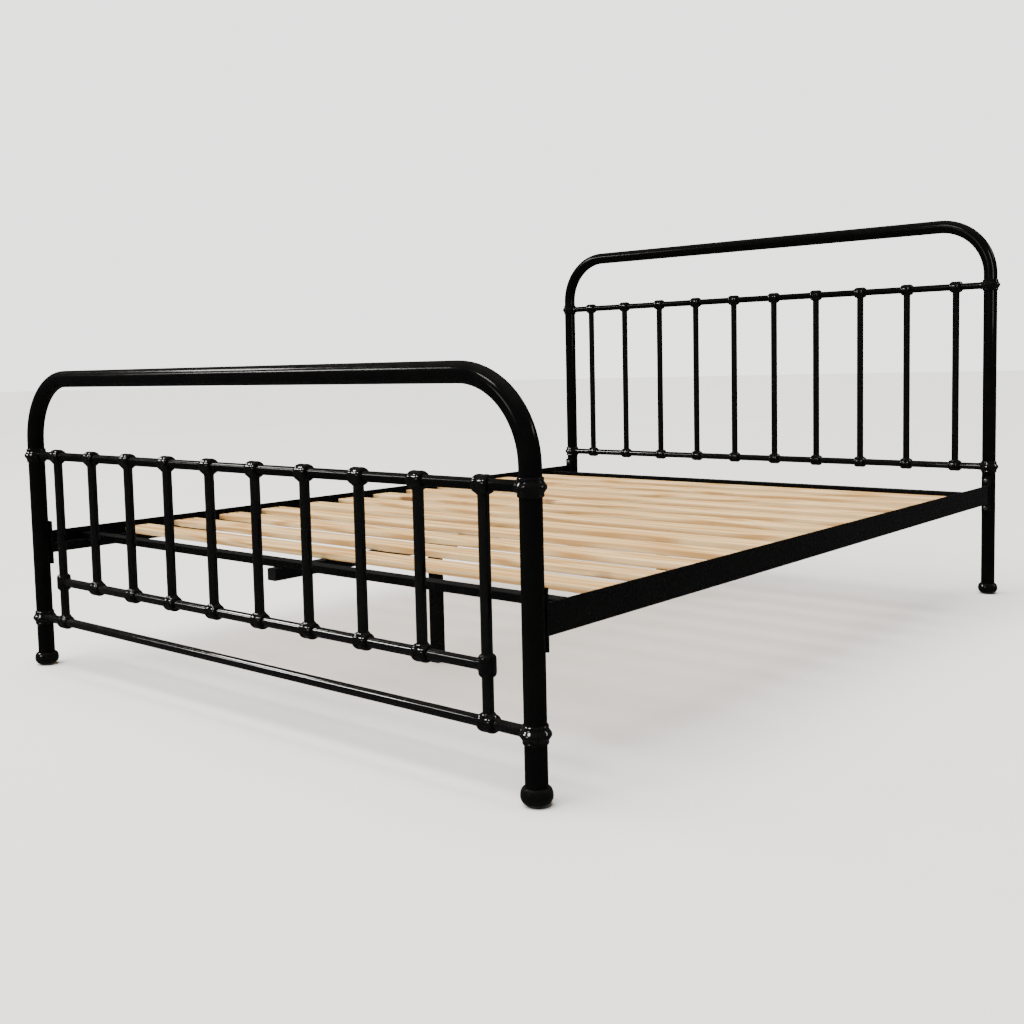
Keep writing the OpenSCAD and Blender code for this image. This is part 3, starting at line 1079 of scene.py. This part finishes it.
@dataclass
class Camera:
    """The camera of the main view.

    Attributes:
        place: Where it stands.
        yaw: Turn to the left of +Y, in radians.
        pitch: Tilt below the horizon, in radians.
        roll: Turn round its own axis, in radians.
        lens_mm: Focal length.
        sensor_mm: Width of the sensor.
        shift: Shift of the picture across and up.
    """

    place: Point = (1.94652, -2.45889, 0.69905)
    yaw: float = 0.6981
    pitch: float = 0.0783
    roll: float = -0.021
    lens_mm: float = 41.258
    sensor_mm: float = 36.0
    shift: tuple[float, float] = (-0.014435, -0.051977)

    def build(self) -> None:
        """Makes the camera and sets it as the scene's."""
        data = bpy.data.cameras.new("main_camera")
        data.lens, data.sensor_width = self.lens_mm, self.sensor_mm
        data.shift_x, data.shift_y = self.shift
        camera = bpy.data.objects.new("main_camera", data)
        bpy.context.scene.collection.objects.link(camera)
        flat, drop = math.cos(self.pitch), math.sin(self.pitch)
        ahead = Vector((-math.sin(self.yaw) * flat, math.cos(self.yaw) * flat, -drop))
        right = Vector((math.cos(self.yaw), math.sin(self.yaw), 0.0))
        up = right.cross(ahead)
        side = math.cos(self.roll) * right + math.sin(self.roll) * up
        top = -math.sin(self.roll) * right + math.cos(self.roll) * up
        turn = Matrix((side, top, -ahead)).transposed().to_4x4()
        camera.matrix_world = Matrix.Translation(self.place) @ turn
        bpy.context.scene.camera = camera


@dataclass
class SoftBox:
    """A rectangular area light, seen in the gloss but not by the camera itself.

    Attributes:
        name: The light's name.
        place: Where it hangs.
        width: Its level side.
        height: Its other side.
        power: Its power in watts.
        aim: The point that it faces.
        only: The nodes that it lights. It lights everything where none is named.
        colour: Its colour.
    """

    name: str
    place: Point
    width: float
    height: float
    power: float
    aim: Point
    only: tuple[str, ...] = ()
    colour: str = "#FFFDF8"

    def build(self) -> None:
        """Makes the light."""
        data = bpy.data.lights.new(self.name, "AREA")
        data.shape, data.size, data.size_y = "RECTANGLE", self.width, self.height
        data.energy, data.color = self.power, linear(self.colour)[:3]
        lamp = bpy.data.objects.new(self.name, data)
        bpy.context.scene.collection.objects.link(lamp)
        lamp.location = self.place
        toward = Vector(self.aim) - Vector(self.place)
        lamp.rotation_mode = "QUATERNION"
        lamp.rotation_quaternion = toward.to_track_quat("-Z", "Y")
        lamp.visible_camera = False
        if self.only:
            lit = bpy.data.collections.new(f"{self.name}_lights")
            for node in self.only:
                lit.objects.link(bpy.data.objects[node])
            lamp.light_linking.receiver_collection = lit


@dataclass
class Studio:
    """The plain floor, the pale surroundings and the lights.

    The strips draw the thin bright lines along the tubes. The right strip lights the
    head hoop only, so that it draws none on the head spindles. The overhead light and
    the floor are kept out of the gloss, as the planks are, so that the enamel stays
    black between the lines.

    Attributes:
        floor_radius: Radius of the floor, wide enough to reach the horizon.
        floor_sides: Sides of the floor's outline.
        floor_z: Height of the floor, a hair under the feet.
        sun_strength: Strength of the broad overhead light that evens the floor.
        sun_angle: Width of that light, in radians.
        sun_lean_deg: How far it leans from straight down, about X and about Y.
        surround: Colour of the surroundings.
        seen: Strength of the surroundings as they are seen.
        fill: Strength of the surroundings as they light the frame.
        boxes: The soft boxes.
    """

    floor_radius: float = 60.0
    floor_sides: int = 96
    floor_z: float = -0.0002
    sun_strength: float = 9.0
    sun_angle: float = 1.2
    sun_lean_deg: tuple[float, float] = (14.0, -10.0)
    surround: str = "#F4F3F1"
    seen: float = 2.8
    fill: float = 0.05
    boxes: tuple[SoftBox, ...] = (
        SoftBox("left_strip", (-7.15, -5.6, 5.1), 2.3, 0.5, 150.0, aim=(-7.15, 0.0, 0.5)),
        SoftBox("left_strip_far_part", (-8.95, -5.6, 5.1), 1.3, 0.5, 38.0, aim=(-8.95, 0.0, 0.5)),
        SoftBox("left_strip_far_end", (-10.1, -5.6, 5.1), 1.0, 0.5, 9.0, aim=(-10.1, 0.0, 0.5)),
        SoftBox("left_strip_near_end", (-5.6, -5.6, 5.1), 0.8, 0.5, 16.0, aim=(-5.6, 0.0, 0.5)),
        SoftBox("front_box", (-1.2, -5.6, 5.0), 1.8, 0.5, 85.0, aim=(-1.2, 0.0, 0.5)),
        SoftBox("low_front_box", (-1.2, -5.6, 1.8), 1.5, 0.5, 13.0, aim=(-1.2, 0.0, 0.8)),
        SoftBox("side_box", (-6.0, -2.0, 5.0), 1.2, 0.8, 60.0, aim=(0.0, -1.5, 0.5)),
        SoftBox("rear_strip", (7.15, 5.6, 5.1), 4.0, 0.5, 70.0, aim=(7.15, 0.0, 0.5)),
        SoftBox(
            "right_strip",
            (1.6, 0.6, 1.2),
            0.15,
            0.8,
            5.0,
            aim=(0.6, 0.35, 1.0),
            only=("head_hoop",),
        ),
    )

    def build(self, paint: Paint) -> None:
        """Makes the floor, the surroundings and the lights.

        Args:
            paint: The materials.
        """
        self.lay_floor(paint)
        self.light_surround()
        sun = bpy.data.lights.new("overhead_light", "SUN")
        sun.energy, sun.angle = self.sun_strength, self.sun_angle
        lamp = bpy.data.objects.new("overhead_light", sun)
        lamp.rotation_euler = (*map(math.radians, self.sun_lean_deg), 0.0)
        lamp.visible_glossy = False
        bpy.context.scene.collection.objects.link(lamp)
        for box in self.boxes:
            box.build()

    def lay_floor(self, paint: Paint) -> None:
        """Makes the floor as one round sheet.

        Args:
            paint: The materials.
        """
        build = bmesh.new()
        bmesh.ops.create_circle(
            build, cap_ends=True, segments=self.floor_sides, radius=self.floor_radius
        )
        bmesh.ops.translate(build, verts=build.verts, vec=(0.0, 0.0, self.floor_z))
        mesh = bpy.data.meshes.new("studio_floor")
        build.to_mesh(mesh)
        build.free()
        mesh.materials.append(paint.of(StudioPaper()))
        floor = put_in_scene("studio_floor", mesh)
        floor.visible_glossy = False

    def light_surround(self) -> None:
        """Makes pale surroundings that light the frame only a little."""
        world = bpy.data.worlds.new("studio")
        world.use_nodes = True
        tree = world.node_tree
        tree.nodes.clear()
        colour = linear(self.surround)
        seen, felt = (
            add_node(tree, "ShaderNodeBackground", {"Color": colour, "Strength": strength})
            for strength in (self.seen, self.fill)
        )
        direct = add_node(tree, "ShaderNodeLightPath", out="Is Camera Ray")
        mixed = add_node(tree, "ShaderNodeMixShader", {0: direct, 1: felt, 2: seen})
        add_node(tree, "ShaderNodeOutputWorld", {"Surface": mixed})
        bpy.context.scene.world = world


# ---- The whole scene ----


def main() -> None:
    """Builds the looks of the whole frame."""
    logging.basicConfig(level=logging.INFO, format="%(name)s: %(message)s")
    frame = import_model()
    Camera().build()
    paint = Paint()
    Studio().build(paint)

    foot = EndPanel(
        "foot",
        bars=("panel_rail", "bottom_rail", "stile_left", "stile_right"),
        spindles=8,
        castings=(
            "top_castings",
            "panel_castings",
            "stile_castings",
            "bottom_castings",
            "post_castings",
            "bun_feet",
        ),
    )
    head = EndPanel(
        "head",
        bars=("bottom_rail",),
        spindles=10,
        castings=("top_castings", "bottom_castings", "post_castings", "bun_feet"),
    )
    deck, rails, support = SlatDeck(), SideRails(), CentreSupport()
    for part in (foot, head, rails, support, Hardware()):
        part.dress(frame, paint)
    deck.lay_planks(paint)
    deck.drive_screws(paint)
    rails.weld(paint, deck.gaps())
    support.weld(paint)


if __name__ == "__main__":
    main()
